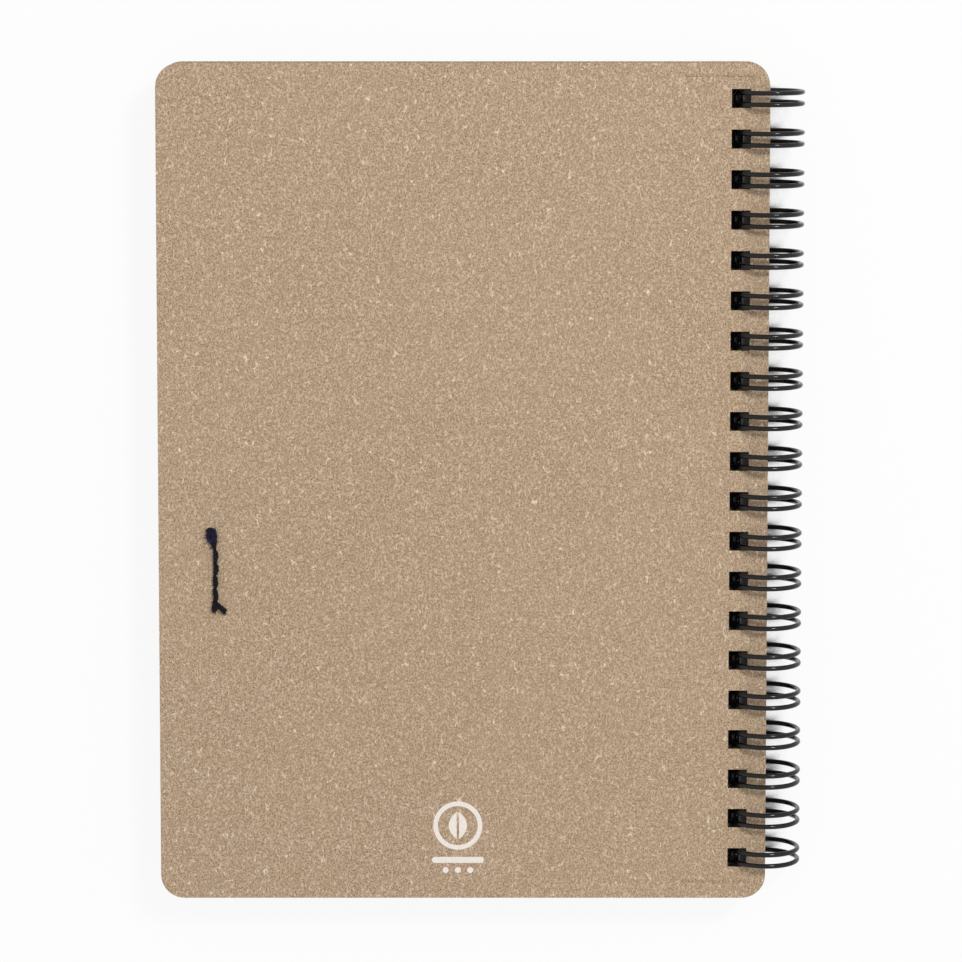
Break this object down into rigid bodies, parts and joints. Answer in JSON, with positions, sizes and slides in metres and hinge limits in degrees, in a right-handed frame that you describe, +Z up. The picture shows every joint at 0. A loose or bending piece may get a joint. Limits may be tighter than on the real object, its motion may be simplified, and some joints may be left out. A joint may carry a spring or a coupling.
{
  "type": "wire-bound sketchbook",
  "caption": "Small wire-bound sketchbook: kraft board covers with round corners, square-punched black leaves, a black twin-loop wire and a folded elastic pen loop.",
  "frame": {"origin": "under the middle of the book's whole box, level with the lowest point of the wire rings", "axes": "the book lies closed with its back cover up: +Z up, +X from the fore edge to the wire, +Y along the wire towards the top edge of the pages"},
  "size_m": [0.1356, 0.1774, 0.0151],
  "materials": {
    "kraft_board": "matt solid kraft board with pale fibres",
    "black_paper": "matt uncoated drawing paper",
    "black_wire": "glossy black coating on steel wire",
    "kraft_thread": "thin tan sewing thread",
    "black_elastic": "flat woven elastic tape",
    "white_ink": "thin screen-printed ink",
    "black_thread": "thick twisted waxed thread"
  },
  "bodies": {
    "binding": {"twin_loop_wire": "black_wire"},
    "back_cover": {"back_cover": "kraft_board", "spine_strip": "kraft_board", "spine_strip_stitches": "kraft_thread", "pen_loop": "black_elastic", "pen_loop_seam": "black_thread"},
    "leaf_24": {"leaf_24": "black_paper"},
    "leaf_23": {"leaf_23": "black_paper"},
    "leaf_22": {"leaf_22": "black_paper"},
    "leaf_21": {"leaf_21": "black_paper"},
    "leaf_20": {"leaf_20": "black_paper"},
    "leaf_19": {"leaf_19": "black_paper"},
    "leaf_18": {"leaf_18": "black_paper"},
    "leaf_17": {"leaf_17": "black_paper"},
    "leaf_16": {"leaf_16": "black_paper"},
    "leaf_15": {"leaf_15": "black_paper"},
    "leaf_14": {"leaf_14": "black_paper"},
    "leaf_13": {"leaf_13": "black_paper"},
    "leaf_12": {"leaf_12": "black_paper"},
    "leaf_11": {"leaf_11": "black_paper"},
    "leaf_10": {"leaf_10": "black_paper"},
    "leaf_09": {"leaf_09": "black_paper"},
    "leaf_08": {"leaf_08": "black_paper"},
    "leaf_07": {"leaf_07": "black_paper"},
    "leaf_06": {"leaf_06": "black_paper"},
    "leaf_05": {"leaf_05": "black_paper"},
    "leaf_04": {"leaf_04": "black_paper"},
    "leaf_03": {"leaf_03": "black_paper"},
    "leaf_02": {"leaf_02": "black_paper"},
    "leaf_01": {"leaf_01": "black_paper"},
    "front_cover": {"front_cover": "kraft_board"}
  },
  "joints": [
    {"name": "back_cover_turn", "type": "hinge", "parent": "binding", "child": "back_cover", "pos_m": [0.06025, 0, 0.00755], "axis": [0, 1, 0], "range_deg": [0, 180]},
    {"name": "leaf_24_turn", "type": "hinge", "parent": "binding", "child": "leaf_24", "pos_m": [0.06025, 0, 0.00755], "axis": [0, 1, 0], "range_deg": [-180, 0]},
    {"name": "leaf_23_turn", "type": "hinge", "parent": "leaf_24", "child": "leaf_23", "pos_m": [0.06025, 0, 0.00755], "axis": [0, 1, 0], "range_deg": [-180, 0]},
    {"name": "leaf_22_turn", "type": "hinge", "parent": "leaf_23", "child": "leaf_22", "pos_m": [0.06025, 0, 0.00755], "axis": [0, 1, 0], "range_deg": [-180, 0]},
    {"name": "leaf_21_turn", "type": "hinge", "parent": "leaf_22", "child": "leaf_21", "pos_m": [0.06025, 0, 0.00755], "axis": [0, 1, 0], "range_deg": [-180, 0]},
    {"name": "leaf_20_turn", "type": "hinge", "parent": "leaf_21", "child": "leaf_20", "pos_m": [0.06025, 0, 0.00755], "axis": [0, 1, 0], "range_deg": [-180, 0]},
    {"name": "leaf_19_turn", "type": "hinge", "parent": "leaf_20", "child": "leaf_19", "pos_m": [0.06025, 0, 0.00755], "axis": [0, 1, 0], "range_deg": [-180, 0]},
    {"name": "leaf_18_turn", "type": "hinge", "parent": "leaf_19", "child": "leaf_18", "pos_m": [0.06025, 0, 0.00755], "axis": [0, 1, 0], "range_deg": [-180, 0]},
    {"name": "leaf_17_turn", "type": "hinge", "parent": "leaf_18", "child": "leaf_17", "pos_m": [0.06025, 0, 0.00755], "axis": [0, 1, 0], "range_deg": [-180, 0]},
    {"name": "leaf_16_turn", "type": "hinge", "parent": "leaf_17", "child": "leaf_16", "pos_m": [0.06025, 0, 0.00755], "axis": [0, 1, 0], "range_deg": [-180, 0]},
    {"name": "leaf_15_turn", "type": "hinge", "parent": "leaf_16", "child": "leaf_15", "pos_m": [0.06025, 0, 0.00755], "axis": [0, 1, 0], "range_deg": [-180, 0]},
    {"name": "leaf_14_turn", "type": "hinge", "parent": "leaf_15", "child": "leaf_14", "pos_m": [0.06025, 0, 0.00755], "axis": [0, 1, 0], "range_deg": [-180, 0]},
    {"name": "leaf_13_turn", "type": "hinge", "parent": "leaf_14", "child": "leaf_13", "pos_m": [0.06025, 0, 0.00755], "axis": [0, 1, 0], "range_deg": [-180, 0]},
    {"name": "leaf_12_turn", "type": "hinge", "parent": "leaf_13", "child": "leaf_12", "pos_m": [0.06025, 0, 0.00755], "axis": [0, 1, 0], "range_deg": [-180, 0]},
    {"name": "leaf_11_turn", "type": "hinge", "parent": "leaf_12", "child": "leaf_11", "pos_m": [0.06025, 0, 0.00755], "axis": [0, 1, 0], "range_deg": [-180, 0]},
    {"name": "leaf_10_turn", "type": "hinge", "parent": "leaf_11", "child": "leaf_10", "pos_m": [0.06025, 0, 0.00755], "axis": [0, 1, 0], "range_deg": [-180, 0]},
    {"name": "leaf_09_turn", "type": "hinge", "parent": "leaf_10", "child": "leaf_09", "pos_m": [0.06025, 0, 0.00755], "axis": [0, 1, 0], "range_deg": [-180, 0]},
    {"name": "leaf_08_turn", "type": "hinge", "parent": "leaf_09", "child": "leaf_08", "pos_m": [0.06025, 0, 0.00755], "axis": [0, 1, 0], "range_deg": [-180, 0]},
    {"name": "leaf_07_turn", "type": "hinge", "parent": "leaf_08", "child": "leaf_07", "pos_m": [0.06025, 0, 0.00755], "axis": [0, 1, 0], "range_deg": [-180, 0]},
    {"name": "leaf_06_turn", "type": "hinge", "parent": "leaf_07", "child": "leaf_06", "pos_m": [0.06025, 0, 0.00755], "axis": [0, 1, 0], "range_deg": [-180, 0]},
    {"name": "leaf_05_turn", "type": "hinge", "parent": "leaf_06", "child": "leaf_05", "pos_m": [0.06025, 0, 0.00755], "axis": [0, 1, 0], "range_deg": [-180, 0]},
    {"name": "leaf_04_turn", "type": "hinge", "parent": "leaf_05", "child": "leaf_04", "pos_m": [0.06025, 0, 0.00755], "axis": [0, 1, 0], "range_deg": [-180, 0]},
    {"name": "leaf_03_turn", "type": "hinge", "parent": "leaf_04", "child": "leaf_03", "pos_m": [0.06025, 0, 0.00755], "axis": [0, 1, 0], "range_deg": [-180, 0]},
    {"name": "leaf_02_turn", "type": "hinge", "parent": "leaf_03", "child": "leaf_02", "pos_m": [0.06025, 0, 0.00755], "axis": [0, 1, 0], "range_deg": [-180, 0]},
    {"name": "leaf_01_turn", "type": "hinge", "parent": "leaf_02", "child": "leaf_01", "pos_m": [0.06025, 0, 0.00755], "axis": [0, 1, 0], "range_deg": [-180, 0]},
    {"name": "front_cover_turn", "type": "hinge", "parent": "leaf_01", "child": "front_cover", "pos_m": [0.06025, 0, 0.00755], "axis": [0, 1, 0], "range_deg": [-180, 0]}
  ]
}
